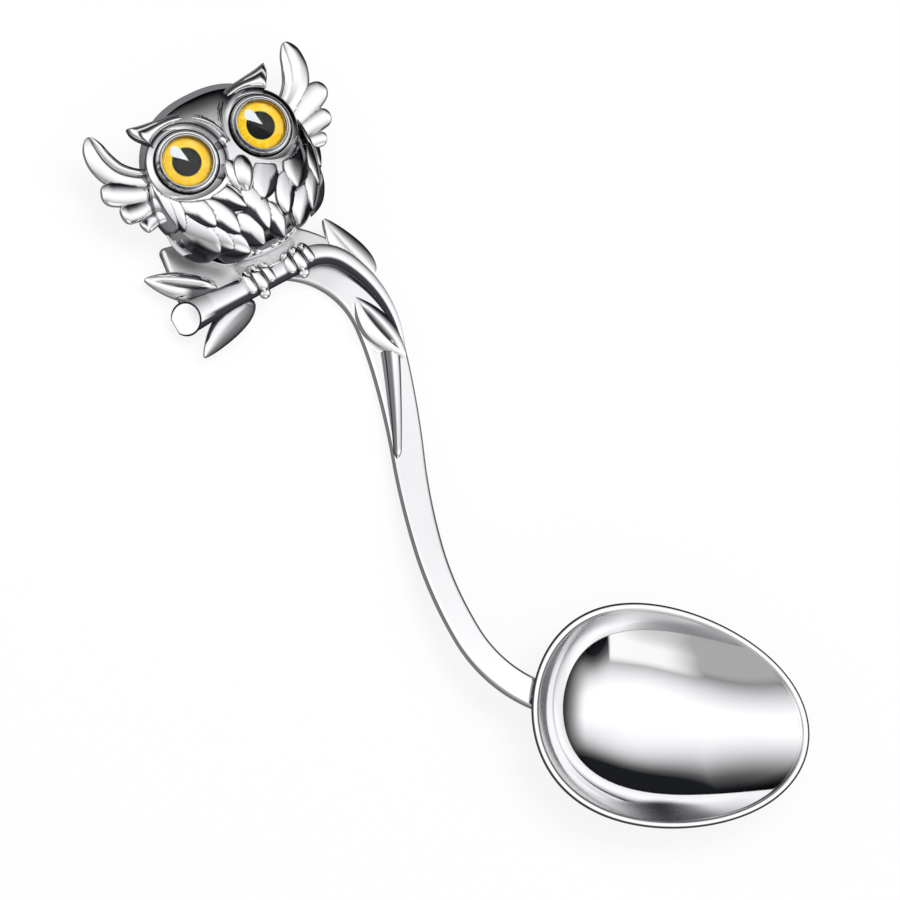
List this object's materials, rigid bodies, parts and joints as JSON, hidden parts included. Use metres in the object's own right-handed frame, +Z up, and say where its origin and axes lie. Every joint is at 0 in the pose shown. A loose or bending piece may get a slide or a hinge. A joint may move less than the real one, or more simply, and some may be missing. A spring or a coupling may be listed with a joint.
{
  "type": "spoon",
  "caption": "Small silver spoon with an egg-shaped bowl and a flat handle bent in an S, whose wide end carries an owl with glass eyes on a leafy branch.",
  "frame": {"origin": "middle of the bowl's flat foot, on the table that the spoon lies on", "axes": "+X along the spoon from the owl towards the bowl's tip, +Z up out of the bowl"},
  "size_m": [0.1341, 0.0576, 0.0143],
  "materials": {
    "silver": "mirror polished silver",
    "iris_enamel": "glossy yellow enamel, darker at the rim",
    "pupil_black": "glossy black",
    "eye_glass": "clear polished"
  },
  "bodies": {
    "root": {"bowl": "silver", "handle_strip": "silver", "branch": "silver", "twig": "silver", "leaf_left": "silver", "leaf_lower": "silver", "leaf_bend": "silver", "leaf_handle": "silver", "owl_body": "silver", "owl_back": "silver", "left_wing": "silver", "right_wing": "silver", "left_brow": "silver", "right_brow": "silver", "beak": "silver", "left_eye_bezel": "silver", "right_eye_bezel": "silver", "left_iris": "iris_enamel", "right_iris": "iris_enamel", "left_pupil": "pupil_black", "right_pupil": "pupil_black", "left_eye_glass": "eye_glass", "right_eye_glass": "eye_glass", "left_foot": "silver", "right_foot": "silver"}
  },
  "joints": []
}
